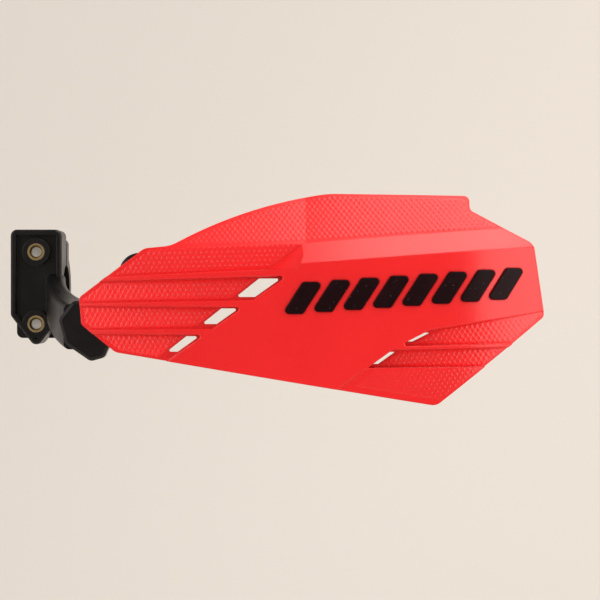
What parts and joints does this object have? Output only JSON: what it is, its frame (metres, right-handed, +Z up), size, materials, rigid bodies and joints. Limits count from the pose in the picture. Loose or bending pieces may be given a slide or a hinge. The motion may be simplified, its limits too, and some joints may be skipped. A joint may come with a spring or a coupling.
{
  "type": "motorcycle hand guard",
  "caption": "Open-ended moulded hand guard with a raised plateau, louvred vents, a textured visor and rubber pads, on an arm that clamps to a handlebar.",
  "frame": {"origin": "on the handlebar's axis, in the middle of the clamp's bore", "axes": "+X outboard along the handlebar, +Y back towards the rider, +Z up; the shield's front faces -Y"},
  "size_m": [0.2421, 0.1151, 0.0906],
  "materials": {
    "red_plastic": "satin moulded, textured louvres and visor",
    "black_rubber": "matt moulded",
    "black_nylon": "satin moulded",
    "steel": "zinc plated",
    "brass": "turned"
  },
  "bodies": {
    "root": {"shield": "red_plastic", "rubber_inlay": "black_rubber", "mount_arm": "black_nylon", "clamp_cap": "black_nylon", "clamp_screw_upper": "steel", "clamp_washer_upper": "steel", "clamp_insert_upper": "brass", "clamp_screw_lower": "steel", "clamp_washer_lower": "steel", "clamp_insert_lower": "brass", "shield_screw_top": "steel", "shield_washer_top": "steel", "shield_insert_top": "brass", "arm_sleeve_top": "steel", "shield_screw_inboard": "steel", "shield_washer_inboard": "steel", "shield_insert_inboard": "brass", "arm_sleeve_inboard": "steel", "shield_screw_outboard": "steel", "shield_washer_outboard": "steel", "shield_insert_outboard": "brass", "arm_sleeve_outboard": "steel"}
  },
  "joints": []
}
